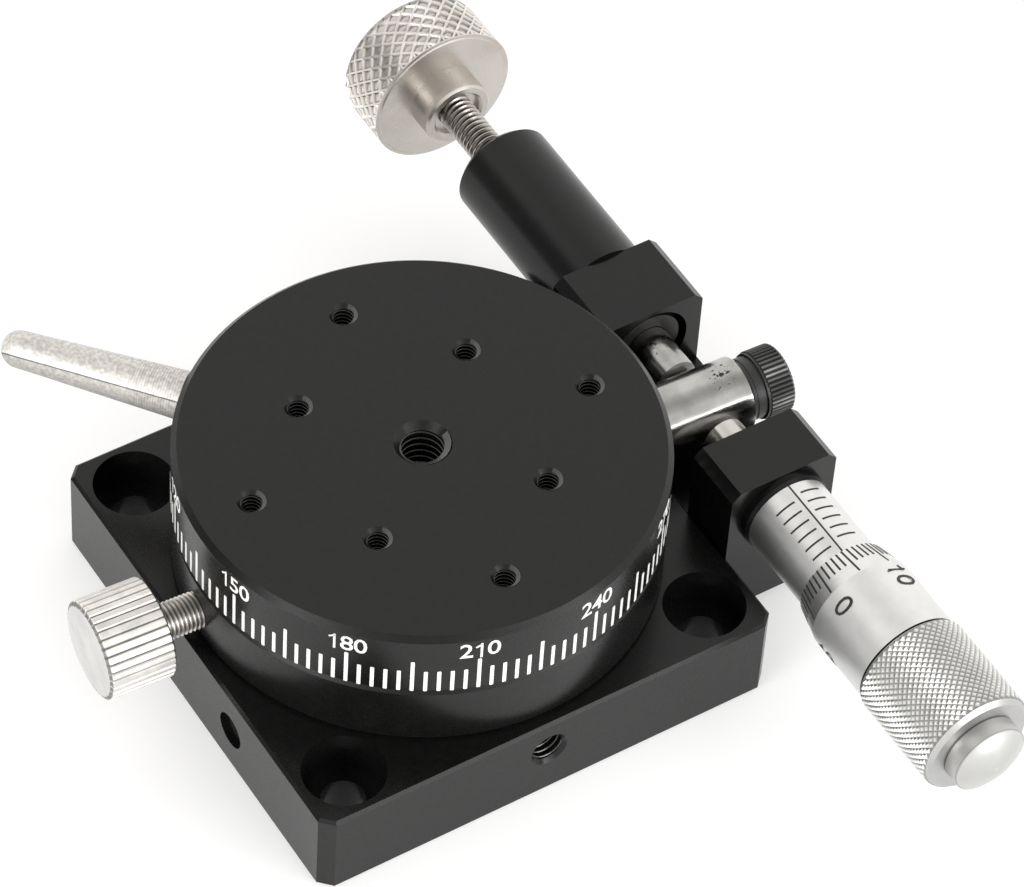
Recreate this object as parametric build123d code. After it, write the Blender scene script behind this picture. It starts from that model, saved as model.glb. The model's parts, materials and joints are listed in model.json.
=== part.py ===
from build123d import *
import math
import os

# Manual rotation stage. Origin on the turning axis at the underside of the base, +Z up.
# +X points to the side that carries the micrometer bracket, -Y is the front face of the base.

# Base
BASE_SIDE = 40.0
BASE_T = 8.0
BASE_CORNER = 1.0
BASE_EDGE = 0.25
MOUNT_PITCH = 32.0
MOUNT_HOLE_D = 3.5
MOUNT_CBORE_D = 6.5
MOUNT_CBORE_DEPTH = 3.6
BUSH_OUTER_R = 12.5
BUSH_FLOOR_Z = 3.0
UNDER_BORE_R = 15.0
FRONT_TAP_X = -0.3
FRONT_TAP_Z = 4.9
FRONT_TAP_DEPTH = 5.0
SIDE_TAP_Y = -6.0
SIDE_TAP_Z = 4.1
SIDE_TAP_IN_X = -15.2
DOG_POINT_D = 1.7
GRUB_RECESS = 0.7
GRUB_SOCKET_R = 0.87
GRUB_SOCKET_DEPTH = 1.4
TAP_M3_D = 2.6
SCREW_M3_D = 2.95
HOLE_M3_D = 3.05
CLEAR_M3_D = 3.4
HOLE_MOUTH = 0.3
WASHER_IN_R = 13.4
WASHER_OUT_R = 16.2
WASHER_SEAT = 0.4

# Clamp ring, which makes the fine turn
RING_GAP = 0.1
RING_TOP_Z = 13.7
STAGE_R = 19.0
RING_EDGE = 0.25
HUB_R = 11.0
HUB_THREAD_R = 9.8
HUB_END_Z = 1.3
RING_BORE_R = 8.6
RUN_FIT = 0.03
NUT_R = 14.6
NUT_TOP_Z = 2.7
NUT_PIN_R = 12.4
NUT_PIN_D = 1.5
THRUST_GAP = 0.02
UPPER_WASHER_IN_R = 9.6
UPPER_WASHER_OUT_R = 12.8

# Table with its degree dial
TABLE_GAP = 0.1
TABLE_TOP_Z = 20.0
TABLE_TOP_EDGE = 0.45
TABLE_HUB_R = 7.5
TABLE_HUB_END_Z = 1.25
GRID_PITCH = 10.0
GRID_ANGLE = 39.5
M2_TAP_D = 1.7
M2_MOUTH_D = 2.3
M2_DEPTH = 3.6
M4_TAP_D = 3.4
M4_MOUTH_D = 4.5
M4_DEPTH = 9.0
LIGHT_BORE_D = 6.0
PLATE_R = 9.4
PLATE_BOTTOM_Z = 0.4
PLATE_SCREW_R = 5.4
PLATE_SCREW_HEAD_D = 3.2
PLATE_SCREW_D = 1.9
PLATE_SCREW_REACH = 4.0
PLATE_SOCKET_R = 0.6
PLATE_SOCKET_DEPTH = 0.6

# Coarse handle
HANDLE_ANGLE = 130.0
HANDLE_Z = 17.6
HANDLE_TIP_R = 34.05
HANDLE_ROOT_D = 3.9
HANDLE_TIP_D = 2.95
HANDLE_THREAD_D = 2.45
HANDLE_THREAD_IN_R = 14.5

# Tangent arm
ARM_ANGLE = -3.0
ARM_D = 6.0
ARM_IN_R = 19.2
ARM_OUT_R = 28.5
ARM_SPIGOT_D = 4.4
ARM_SPIGOT_IN_R = 17.0
ARM_BORE_D = 3.2
ARM_WASHER_T = 0.3
ARM_WASHER_D = 5.0
ARM_HEAD_D = 5.45
ARM_COLLAR_D = 5.1
ARM_COLLAR_T = 0.8
ARM_HEAD_T = 3.3
ARM_SCREW_IN_R = 12.6
ARM_SOCKET_R = 1.44
ARM_SOCKET_DEPTH = 1.6

# Bracket and the tangential axis
AXIS_X = 24.8
AXIS_Z = 11.3
BRACKET_OUT_X = 29.6
BRACKET_BOTTOM_Z = 1.15
BRACKET_TOP_Z = 15.1
BRACKET_BAR_Z = 7.4
BRACKET_BEVEL = 0.75
NEAR_FRONT_Y = -12.9
NEAR_BACK_Y = -7.5
FAR_FRONT_Y = 6.0
FAR_BACK_Y = 12.8
BRACKET_SCREW_Z = 4.4
BRACKET_HEAD_D = 5.5
BRACKET_HEAD_T = 3.0
BRACKET_CBORE_D = 5.8
BRACKET_CBORE_DEPTH = 3.3
BRACKET_SCREW_LENGTH = 11.0
SET_SCREW_HOLE_D = 2.6
SET_SCREW_D = 2.5
SET_SCREW_POINT_D = 1.2
SET_SCREW_POINT_T = 0.35
SET_SCREW_SOCKET_R = 0.72

# Micrometer head
SLEEVE_D = 7.1
STEM_D = 6.0
COLLAR_D = 7.5
COLLAR_T = 0.9
SLEEVE_END_Y = -31.0
SLEEVE_REAR_D = 6.4
SLEEVE_REAR_LENGTH = 5.0
SLEEVE_GUIDE_LENGTH = 3.7
ADJUST_NUT_INSET = 1.0
ADJUST_NUT_T = 3.0
SPINDLE_D = 3.5
SPINDLE_THREAD_D = 4.6
SPINDLE_THREAD_START_Y = -22.5
THIMBLE_EDGE_Y = -21.3
THIMBLE_BEVEL_END_Y = -24.0
THIMBLE_EDGE_D = 7.6
THIMBLE_D = 8.9
THIMBLE_FIT = 0.05
KNURL_START_Y = -30.5
KNURL_END_Y = -39.5
KNURL_D = 9.15
THIMBLE_WEB_Y = -36.6
CAP_END_Y = -41.9
CAP_D = 6.2
CAP_STEM_D = 2.4
CAP_STEM_Y = -36.2
CAP_SKIRT = 1.45
CAP_SHOULDER = 0.35

# Spring plunger
HOUSING_D = 8.4
HOUSING_END_Y = 28.4
HOUSING_SPIGOT_D = 7.0
HOUSING_SPIGOT_Y = 9.2
HOUSING_BORE_D = 5.7
HOUSING_REAR_WALL_Y = 24.6
PLUNGER_D = 3.5
PLUNGER_FLANGE_D = 5.5
PLUNGER_FLANGE_Y = 9.75
PLUNGER_FLANGE_T = 1.2
PLUNGER_TAIL_D = 2.4
PLUNGER_TAIL_END_Y = 16.6
PLUNGER_FIT = 0.05
BUSH_FRONT_Y = 6.3
BUSH_FLANGE_Y = 7.6
BUSH_FRONT_D = 5.9
SPRING_WIRE_D = 0.5
SPRING_MEAN_D = 4.3
SPRING_TURNS = 9

# Rear lock knob
LOCK_ROD_D = 2.9
LOCK_ROD_TIP_Y = 24.7
LOCK_ROD_SOCKET_Y = 40.2
LOCK_HUB_Y = 34.9
LOCK_HUB_D = 6.0
LOCK_RECESS_D = 4.2
LOCK_RECESS_T = 0.6
LOCK_DISC_Y = 37.4
LOCK_DISC_END_Y = 43.3
LOCK_DISC_D = 12.3
LOCK_DISC_ROUND = 1.3

# Thumb lock screw
THUMB_ANGLE = 177.0
THUMB_Z = 10.5
THUMB_HEAD_IN_R = 22.5
THUMB_HEAD_OUT_R = 28.0
THUMB_HEAD_D = 7.7
THUMB_STUD_IN_R = 10.2
THUMB_STUD_SOCKET_R = 26.6
PAD_LENGTH = 2.35
PAD_D = 2.4

RING_BOTTOM_Z = BASE_T + RING_GAP
TABLE_BOTTOM_Z = RING_TOP_Z + TABLE_GAP
BUSH_INNER_R = HUB_R + RUN_FIT
TABLE_BUSH_R = TABLE_HUB_R + RUN_FIT
HALF = BASE_SIDE / 2
ARM_HEAD_IN_R = ARM_OUT_R + ARM_WASHER_T
SLEEVE_START_Y = NEAR_FRONT_Y - COLLAR_T
ARM_CONTACT = ARM_D / 2 / math.cos(math.radians(ARM_ANGLE))
ARM_Y = AXIS_X * math.tan(math.radians(ARM_ANGLE))
TIP_GAP = 0.02
TIP_DOME = 0.35
SPINDLE_TIP_Y = ARM_Y - ARM_CONTACT - TIP_GAP
PLUNGER_TIP_Y = ARM_Y + ARM_CONTACT + TIP_GAP


# Helpers

def disc(radius, z0, z1):
    return Pos(0, 0, (z0 + z1) / 2) * Cylinder(radius, z1 - z0)


def ring_of(r_in, r_out, z0, z1):
    return disc(r_out, z0, z1) - disc(r_in, z0 - 1, z1 + 1)


def along_y(radius, y0, y1, x=AXIS_X, z=AXIS_Z):
    bar = Cylinder(radius, abs(y1 - y0))
    return Pos(x, (y0 + y1) / 2, z) * Rot(90, 0, 0) * bar


def along_x(radius, x0, x1, y, z):
    return Pos((x0 + x1) / 2, y, z) * Rot(0, 90, 0) * Cylinder(radius, abs(x1 - x0))


def radial(radius, r0, r1, angle, z):
    return Rot(0, 0, angle) * along_x(radius, r0, r1, 0, z)


def turned(points):
    # Closed profile of (radius, length) pairs, turned about the Z axis.
    face = make_face(Plane.XZ * Polyline(*points, close=True))
    return revolve(face, Axis.Z)


def turned_on_axis(points):
    # The same profile, laid along the tangential axis; length is the Y coordinate.
    body = turned(points)
    return Pos(AXIS_X, 0, AXIS_Z) * Rot(-90, 0, 0) * body


def turned_radially(points, angle, z):
    # The same profile, laid along a radius of the stage; length is the distance from the axis.
    return Rot(0, 0, angle) * Pos(0, 0, z) * Rot(0, 90, 0) * turned(points)


def dome_middle(radius, height):
    # Point halfway along a spherical dome of that rim radius: its radius and its depth below the crown.
    ball = (radius ** 2 + height ** 2) / (2 * height)
    half = math.asin(radius / ball) / 2
    return ball * math.sin(half), ball * (1 - math.cos(half))


def hex_prism(across_corner_r, depth):
    return extrude(RegularPolygon(across_corner_r, 6), amount=depth)


def save(name, shape):
    export_step(shape, f"parts/{name}.step")


# Base

def mount_points():
    h = MOUNT_PITCH / 2
    return [(x, y) for x in (-h, h) for y in (-h, h)]


def base_plate():
    blank = extrude(Rectangle(BASE_SIDE, BASE_SIDE), amount=BASE_T)
    blank = chamfer(blank.edges().filter_by(Axis.Z), BASE_CORNER)
    blank = chamfer(blank.faces().sort_by(Axis.Z)[-1].edges(), BASE_EDGE)
    blank = chamfer(blank.faces().sort_by(Axis.Z)[0].edges(), BASE_EDGE)
    cuts = [disc(BUSH_OUTER_R, -1, BASE_T + 1), disc(UNDER_BORE_R, -1, BUSH_FLOOR_Z)]
    cuts.append(ring_of(WASHER_IN_R, WASHER_OUT_R, BASE_T - WASHER_SEAT, BASE_T + 1))
    for x, y in mount_points():
        cuts.append(Pos(x, y, 0) * disc(MOUNT_HOLE_D / 2, -1, BASE_T + 1))
        cuts.append(Pos(x, y, 0) * disc(MOUNT_CBORE_D / 2, BASE_T - MOUNT_CBORE_DEPTH, BASE_T + 1))
    front = Pos(FRONT_TAP_X, -HALF, FRONT_TAP_Z) * Rot(-90, 0, 0)
    cuts.append(front * disc(TAP_M3_D / 2, -1, FRONT_TAP_DEPTH))
    cuts.append(front * Cone(TAP_M3_D / 2 + 2 * HOLE_MOUTH, TAP_M3_D / 2, 2 * HOLE_MOUTH))
    cuts.append(along_x(HOLE_M3_D / 2, -HALF - 1, SIDE_TAP_IN_X, SIDE_TAP_Y, SIDE_TAP_Z))
    cuts.append(along_x(DOG_POINT_D / 2 + 0.05, SIDE_TAP_IN_X - 1, -bush_side_x() + 0.5, SIDE_TAP_Y, SIDE_TAP_Z))
    for y in bracket_screw_ys():
        depth = BRACKET_CBORE_DEPTH + BRACKET_SCREW_LENGTH + 0.4
        cuts.append(along_x(HOLE_M3_D / 2, BRACKET_OUT_X - depth, HALF + 1, y, BRACKET_SCREW_Z))
    for cut in cuts:
        blank -= cut
    return blank


def base_bush():
    return ring_of(BUSH_INNER_R, BUSH_OUTER_R, BUSH_FLOOR_Z, BASE_T - 0.2)


def base_thrust_washer():
    top = RING_BOTTOM_Z - THRUST_GAP
    return ring_of(WASHER_IN_R + 0.05, WASHER_OUT_R - 0.05, BASE_T - WASHER_SEAT, top)


def bush_side_x():
    # How far from the axis the bush wall stands where the grub screw's point meets it.
    return math.sqrt(BUSH_OUTER_R ** 2 - (abs(SIDE_TAP_Y) - DOG_POINT_D / 2) ** 2)


def base_grub_screw():
    start = -HALF + GRUB_RECESS
    body = along_x(SCREW_M3_D / 2, start, SIDE_TAP_IN_X - 0.2, SIDE_TAP_Y, SIDE_TAP_Z)
    body += along_x(DOG_POINT_D / 2, SIDE_TAP_IN_X - 0.2, -bush_side_x() - 0.02, SIDE_TAP_Y, SIDE_TAP_Z)
    socket = Pos(start - 0.1, SIDE_TAP_Y, SIDE_TAP_Z) * Rot(0, 90, 0) * hex_prism(GRUB_SOCKET_R, GRUB_SOCKET_DEPTH + 0.1)
    return body - socket


# Clamp ring and what turns with it

def arm_place(shape):
    return Rot(0, 0, ARM_ANGLE) * shape


def clamp_ring():
    body = ring_of(RING_BORE_R, STAGE_R, RING_BOTTOM_Z, RING_TOP_Z)
    rims = body.edges().filter_by(GeomType.CIRCLE).group_by(SortBy.RADIUS)[-1]
    body = chamfer(rims, RING_EDGE)
    body += ring_of(RING_BORE_R, HUB_R, NUT_TOP_Z, RING_BOTTOM_Z + 1)
    body += ring_of(RING_BORE_R, HUB_THREAD_R, HUB_END_Z, NUT_TOP_Z + 1)
    body -= ring_of(UPPER_WASHER_IN_R, UPPER_WASHER_OUT_R, RING_TOP_Z - WASHER_SEAT, RING_TOP_Z + 1)
    body -= radial(ARM_SPIGOT_D / 2 + 0.01, ARM_SPIGOT_IN_R, STAGE_R + 1, ARM_ANGLE, AXIS_Z)
    body -= radial(HOLE_M3_D / 2, ARM_SCREW_IN_R - 0.4, STAGE_R, ARM_ANGLE, AXIS_Z)
    body -= radial(HOLE_M3_D / 2, RING_BORE_R - 0.5, STAGE_R + 1, THUMB_ANGLE, THUMB_Z)
    return body


def ring_bush():
    return ring_of(TABLE_BUSH_R, RING_BORE_R, HUB_END_Z + 0.7, RING_BOTTOM_Z + 0.5)


def ring_retaining_nut():
    nut = ring_of(HUB_THREAD_R, NUT_R, HUB_END_Z, NUT_TOP_Z)
    for angle in (0, 180):
        pin_hole = disc(NUT_PIN_D / 2, HUB_END_Z - 1, NUT_TOP_Z + 1)
        nut -= Rot(0, 0, angle) * Pos(NUT_PIN_R, 0, 0) * pin_hole
    return nut


def nut_thrust_washer():
    return ring_of(BUSH_OUTER_R + 0.1, NUT_R - 0.2, NUT_TOP_Z + THRUST_GAP, BUSH_FLOOR_Z)


def table_thrust_washer():
    top = TABLE_BOTTOM_Z - THRUST_GAP
    return ring_of(UPPER_WASHER_IN_R + 0.05, UPPER_WASHER_OUT_R - 0.05, RING_TOP_Z - WASHER_SEAT, top)


def tangent_arm():
    r = ARM_D / 2
    edge = 0.3
    outline = [
        (ARM_BORE_D / 2, ARM_SPIGOT_IN_R),
        (ARM_SPIGOT_D / 2, ARM_SPIGOT_IN_R),
        (ARM_SPIGOT_D / 2, ARM_IN_R),
        (r - edge, ARM_IN_R),
        (r, ARM_IN_R + edge),
        (r, ARM_OUT_R - edge),
        (r - edge, ARM_OUT_R),
        (ARM_BORE_D / 2, ARM_OUT_R),
    ]
    return turned_radially(outline, ARM_ANGLE, AXIS_Z)


def arm_washer():
    outline = [
        (ARM_BORE_D / 2, ARM_OUT_R),
        (ARM_WASHER_D / 2, ARM_OUT_R),
        (ARM_WASHER_D / 2, ARM_HEAD_IN_R),
        (ARM_BORE_D / 2, ARM_HEAD_IN_R),
    ]
    return turned_radially(outline, ARM_ANGLE, AXIS_Z)


def arm_cap_screw():
    edge = 0.35
    outline = [
        (0, ARM_SCREW_IN_R),
        (SCREW_M3_D / 2, ARM_SCREW_IN_R),
        (SCREW_M3_D / 2, ARM_HEAD_IN_R),
        (ARM_COLLAR_D / 2, ARM_HEAD_IN_R),
        (ARM_COLLAR_D / 2, ARM_HEAD_IN_R + ARM_COLLAR_T),
        (ARM_HEAD_D / 2, ARM_HEAD_IN_R + ARM_COLLAR_T),
        (ARM_HEAD_D / 2, ARM_HEAD_IN_R + ARM_HEAD_T - edge),
        (ARM_HEAD_D / 2 - edge, ARM_HEAD_IN_R + ARM_HEAD_T),
        (0, ARM_HEAD_IN_R + ARM_HEAD_T),
    ]
    screw = turned_radially(outline, ARM_ANGLE, AXIS_Z)
    socket = Pos(ARM_HEAD_IN_R + ARM_HEAD_T - ARM_SOCKET_DEPTH, 0, AXIS_Z) * Rot(0, 90, 0)
    return screw - arm_place(socket * hex_prism(ARM_SOCKET_R, ARM_SOCKET_DEPTH + 1))


# Table

def grid_points():
    steps = (-1, 0, 1)
    return [(i * GRID_PITCH, j * GRID_PITCH) for i in steps for j in steps if i or j]


def rotary_table():
    body = disc(STAGE_R, TABLE_BOTTOM_Z, TABLE_TOP_Z)
    top = body.edges().filter_by(GeomType.CIRCLE).sort_by(Axis.Z)[-1]
    body = chamfer(top, TABLE_TOP_EDGE)
    low = body.edges().filter_by(GeomType.CIRCLE).sort_by(Axis.Z)[0]
    body = chamfer(low, RING_EDGE)
    body += disc(TABLE_HUB_R, TABLE_HUB_END_Z, TABLE_BOTTOM_Z + 1)
    body -= disc(M4_TAP_D / 2, TABLE_TOP_Z - M4_DEPTH - 1, TABLE_TOP_Z + 1)
    body -= disc(LIGHT_BORE_D / 2, 0, TABLE_TOP_Z - M4_DEPTH)
    mouth = (M4_MOUTH_D - M4_TAP_D) / 2
    body -= Pos(0, 0, TABLE_TOP_Z - mouth / 2) * Cone(M4_TAP_D / 2, M4_MOUTH_D / 2, mouth)
    mouth = (M2_MOUTH_D - M2_TAP_D) / 2
    for x, y in grid_points():
        spot = Rot(0, 0, GRID_ANGLE) * Pos(x, y, 0)
        body -= spot * disc(M2_TAP_D / 2, TABLE_TOP_Z - M2_DEPTH, TABLE_TOP_Z + 1)
        body -= spot * Pos(0, 0, TABLE_TOP_Z - mouth / 2) * Cone(M2_TAP_D / 2, M2_MOUTH_D / 2, mouth)
    hole_r = HANDLE_THREAD_D / 2 + 0.03
    body -= radial(hole_r, HANDLE_THREAD_IN_R - 0.3, STAGE_R + 1, HANDLE_ANGLE, HANDLE_Z)
    for spot in plate_screw_spots():
        body -= spot * disc(PLATE_SCREW_D / 2 + 0.05, 0, TABLE_HUB_END_Z + PLATE_SCREW_REACH + 0.2)
    return body


def plate_screw_spots():
    return [Rot(0, 0, a) * Pos(PLATE_SCREW_R, 0, 0) for a in (30, 150, 270)]


def table_retaining_plate():
    plate = ring_of(LIGHT_BORE_D / 2, PLATE_R, PLATE_BOTTOM_Z, TABLE_HUB_END_Z)
    for spot in plate_screw_spots():
        plate -= spot * disc(PLATE_SCREW_D / 2 + 0.1, 0, TABLE_HUB_END_Z + 1)
        plate -= spot * plate_screw_head(0.05)
    return plate


def plate_screw_head(grow):
    sink = (PLATE_SCREW_HEAD_D - PLATE_SCREW_D) / 2
    z = PLATE_BOTTOM_Z + sink / 2
    return Pos(0, 0, z) * Cone(PLATE_SCREW_HEAD_D / 2 + grow, PLATE_SCREW_D / 2 + grow, sink)


def table_retaining_screws():
    screws = []
    for spot in plate_screw_spots():
        screw = disc(PLATE_SCREW_D / 2, PLATE_BOTTOM_Z, TABLE_HUB_END_Z + PLATE_SCREW_REACH)
        screw += plate_screw_head(0)
        screw -= Pos(0, 0, PLATE_BOTTOM_Z - 0.01) * hex_prism(PLATE_SOCKET_R, PLATE_SOCKET_DEPTH)
        screws.append(spot * screw)
    return Compound(children=screws)


def coarse_handle():
    root = STAGE_R
    tip_r = HANDLE_TIP_D / 2
    with BuildPart() as made:
        with BuildSketch(Plane.XZ):
            with BuildLine():
                Polyline(
                    (0, HANDLE_THREAD_IN_R),
                    (HANDLE_THREAD_D / 2, HANDLE_THREAD_IN_R),
                    (HANDLE_THREAD_D / 2, root + 0.05),
                    (HANDLE_ROOT_D / 2, root + 0.05),
                    (tip_r, HANDLE_TIP_R - tip_r),
                )
                RadiusArc((tip_r, HANDLE_TIP_R - tip_r), (0, HANDLE_TIP_R), -tip_r)
                Line((0, HANDLE_TIP_R), (0, HANDLE_THREAD_IN_R))
            make_face()
        revolve(axis=Axis.Z)
    return Rot(0, 0, HANDLE_ANGLE) * Pos(0, 0, HANDLE_Z) * Rot(0, 90, 0) * made.part


# Bracket

def bracket_screw_ys():
    return ((NEAR_FRONT_Y + NEAR_BACK_Y) / 2, (FAR_FRONT_Y + FAR_BACK_Y) / 2)


def post(y0, y1):
    width = BRACKET_OUT_X - HALF
    outline = Rectangle(width, BRACKET_TOP_Z - BRACKET_BOTTOM_Z)
    block = extrude(Plane.XZ * outline, amount=(y1 - y0) / 2, both=True)
    tops = block.faces().sort_by(Axis.Z)[-1].edges().filter_by(Axis.Y)
    block = chamfer(tops, BRACKET_BEVEL)
    return Pos(HALF + width / 2, (y0 + y1) / 2, (BRACKET_TOP_Z + BRACKET_BOTTOM_Z) / 2) * block


def tangent_bracket():
    body = post(NEAR_FRONT_Y, NEAR_BACK_Y) + post(FAR_FRONT_Y, FAR_BACK_Y)
    bar_size = (BRACKET_OUT_X - HALF, FAR_FRONT_Y - NEAR_BACK_Y + 2, BRACKET_BAR_Z - BRACKET_BOTTOM_Z)
    centre = ((BRACKET_OUT_X + HALF) / 2, (FAR_FRONT_Y + NEAR_BACK_Y) / 2)
    body += Pos(*centre, (BRACKET_BAR_Z + BRACKET_BOTTOM_Z) / 2) * Box(*bar_size)
    body -= along_y(STEM_D / 2 + 0.01, NEAR_FRONT_Y - 1, NEAR_BACK_Y + 1)
    body -= along_y(HOUSING_SPIGOT_D / 2 + 0.01, FAR_FRONT_Y - 1, FAR_BACK_Y + 1)
    for y in bracket_screw_ys():
        body -= along_x(CLEAR_M3_D / 2, HALF - 1, BRACKET_OUT_X + 1, y, BRACKET_SCREW_Z)
        inner = BRACKET_OUT_X - BRACKET_CBORE_DEPTH
        body -= along_x(BRACKET_CBORE_D / 2, inner, BRACKET_OUT_X + 1, y, BRACKET_SCREW_Z)
    y = bracket_screw_ys()[0]
    body -= along_x(SET_SCREW_HOLE_D / 2, AXIS_X, BRACKET_OUT_X + 1, y, AXIS_Z)
    return body


def bracket_screws():
    screws = []
    seat = BRACKET_OUT_X - BRACKET_CBORE_DEPTH
    for y in bracket_screw_ys():
        screw = along_x(BRACKET_HEAD_D / 2, seat, seat + BRACKET_HEAD_T, y, BRACKET_SCREW_Z)
        screw += along_x(SCREW_M3_D / 2, seat - BRACKET_SCREW_LENGTH, seat, y, BRACKET_SCREW_Z)
        socket = Pos(seat + BRACKET_HEAD_T - ARM_SOCKET_DEPTH, y, BRACKET_SCREW_Z) * Rot(0, 90, 0)
        screw -= socket * hex_prism(ARM_SOCKET_R, ARM_SOCKET_DEPTH + 1)
        screws.append(screw)
    return Compound(children=screws)


def micrometer_grub_screw():
    y = bracket_screw_ys()[0]
    stem_side = AXIS_X + STEM_D / 2
    start = stem_side + SET_SCREW_POINT_T
    screw = along_x(SET_SCREW_D / 2, start, BRACKET_OUT_X - 0.1, y, AXIS_Z)
    socket = Pos(start + 0.6, y, AXIS_Z) * Rot(0, 90, 0) * hex_prism(SET_SCREW_SOCKET_R, 2)
    point = along_x(SET_SCREW_POINT_D / 2, stem_side + 0.01, start, y, AXIS_Z)
    return screw - socket + point


# Micrometer head

def micrometer_sleeve():
    bore = SPINDLE_D / 2 + 0.03
    thread = SPINDLE_THREAD_D / 2 + 0.05
    shoulder_y = SLEEVE_END_Y + SLEEVE_REAR_LENGTH
    guide_end_y = SLEEVE_START_Y - SLEEVE_GUIDE_LENGTH
    outline = [
        (bore, NEAR_BACK_Y - 0.2),
        (STEM_D / 2, NEAR_BACK_Y - 0.2),
        (STEM_D / 2, SLEEVE_START_Y),
        (SLEEVE_D / 2, SLEEVE_START_Y),
        (SLEEVE_D / 2, shoulder_y),
        (SLEEVE_REAR_D / 2, shoulder_y),
        (SLEEVE_REAR_D / 2, SLEEVE_END_Y),
        (thread, SLEEVE_END_Y),
        (thread, guide_end_y),
        (bore, guide_end_y),
    ]
    return turned_on_axis(outline)


def micrometer_collar():
    inner = STEM_D / 2 + 0.02
    outline = [
        (inner, NEAR_FRONT_Y),
        (COLLAR_D / 2, NEAR_FRONT_Y),
        (COLLAR_D / 2, SLEEVE_START_Y + 0.3),
        (COLLAR_D / 2 - 0.3, SLEEVE_START_Y),
        (inner, SLEEVE_START_Y),
    ]
    return turned_on_axis(outline)


def micrometer_adjusting_nut():
    rear = SLEEVE_REAR_D / 2 + 0.02
    outer = SLEEVE_D / 2
    start = SLEEVE_END_Y + ADJUST_NUT_INSET
    end = start + ADJUST_NUT_T
    return turned_on_axis([(rear, start), (outer, start), (outer, end), (rear, end)])


def micrometer_spindle():
    r = SPINDLE_D / 2
    rim_y = SPINDLE_TIP_Y - TIP_DOME
    mid_r, mid_drop = dome_middle(r, TIP_DOME)
    with BuildPart() as made:
        with BuildSketch(Plane.XZ):
            with BuildLine():
                ThreePointArc((0, SPINDLE_TIP_Y), (mid_r, SPINDLE_TIP_Y - mid_drop), (r, rim_y))
                Polyline(
                    (r, rim_y),
                    (r, SPINDLE_THREAD_START_Y),
                    (SPINDLE_THREAD_D / 2, SPINDLE_THREAD_START_Y),
                    (SPINDLE_THREAD_D / 2, THIMBLE_WEB_Y),
                    (CAP_STEM_D / 2 + 0.05, THIMBLE_WEB_Y),
                    (CAP_STEM_D / 2 + 0.05, CAP_STEM_Y + 1.2),
                    (0, CAP_STEM_Y + 1.2),
                    (0, SPINDLE_TIP_Y),
                )
            make_face()
        revolve(axis=Axis.Z)
    return Pos(AXIS_X, 0, AXIS_Z) * Rot(-90, 0, 0) * made.part


def thimble():
    inner = SLEEVE_D / 2 + THIMBLE_FIT
    knurl = KNURL_D / 2
    outline = [
        (inner, THIMBLE_EDGE_Y),
        (THIMBLE_EDGE_D / 2, THIMBLE_EDGE_Y),
        (THIMBLE_D / 2, THIMBLE_BEVEL_END_Y),
        (THIMBLE_D / 2, KNURL_START_Y),
        (knurl, KNURL_START_Y - 0.25),
        (knurl, KNURL_END_Y + 0.4),
        (knurl - 0.4, KNURL_END_Y),
        (CAP_STEM_D / 2 + 0.05, KNURL_END_Y),
        (CAP_STEM_D / 2 + 0.05, THIMBLE_WEB_Y),
        (inner, THIMBLE_WEB_Y),
    ]
    return turned_on_axis(outline)


def thimble_cap():
    rim = CAP_D / 2
    shoulder_y = KNURL_END_Y - CAP_SKIRT
    dome_r = rim - CAP_SHOULDER
    dome_h = shoulder_y - CAP_SHOULDER / 2 - CAP_END_Y
    mid_r, mid_drop = dome_middle(dome_r, dome_h)
    with BuildPart() as made:
        with BuildSketch(Plane.XZ):
            with BuildLine():
                Polyline((0, CAP_STEM_Y), (CAP_STEM_D / 2, CAP_STEM_Y), (CAP_STEM_D / 2, KNURL_END_Y))
                Polyline((CAP_STEM_D / 2, KNURL_END_Y), (rim, KNURL_END_Y), (rim, shoulder_y))
                Line((rim, shoulder_y), (dome_r, CAP_END_Y + dome_h))
                ThreePointArc((dome_r, CAP_END_Y + dome_h), (mid_r, CAP_END_Y + mid_drop), (0, CAP_END_Y))
                Line((0, CAP_END_Y), (0, CAP_STEM_Y))
            make_face()
        revolve(axis=Axis.Z)
    return Pos(AXIS_X, 0, AXIS_Z) * Rot(-90, 0, 0) * made.part


# Spring plunger

def plunger_bush():
    bore = PLUNGER_D / 2 + PLUNGER_FIT
    outer = HOUSING_SPIGOT_D / 2
    outline = [
        (bore, BUSH_FRONT_Y),
        (BUSH_FRONT_D / 2, BUSH_FRONT_Y),
        (BUSH_FRONT_D / 2, BUSH_FLANGE_Y),
        (outer, BUSH_FLANGE_Y),
        (outer, HOUSING_SPIGOT_Y),
        (bore, HOUSING_SPIGOT_Y),
    ]
    return turned_on_axis(outline)


def spring_housing():
    outer = HOUSING_D / 2
    bore = HOUSING_BORE_D / 2
    outline = [
        (bore, HOUSING_SPIGOT_Y),
        (HOUSING_SPIGOT_D / 2, HOUSING_SPIGOT_Y),
        (HOUSING_SPIGOT_D / 2, FAR_BACK_Y),
        (outer, FAR_BACK_Y),
        (outer, HOUSING_END_Y - 0.5),
        (outer - 0.5, HOUSING_END_Y),
        (LOCK_ROD_D / 2 + 0.05, HOUSING_END_Y),
        (LOCK_ROD_D / 2 + 0.05, HOUSING_REAR_WALL_Y),
        (bore, HOUSING_REAR_WALL_Y),
    ]
    return turned_on_axis(outline)


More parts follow.
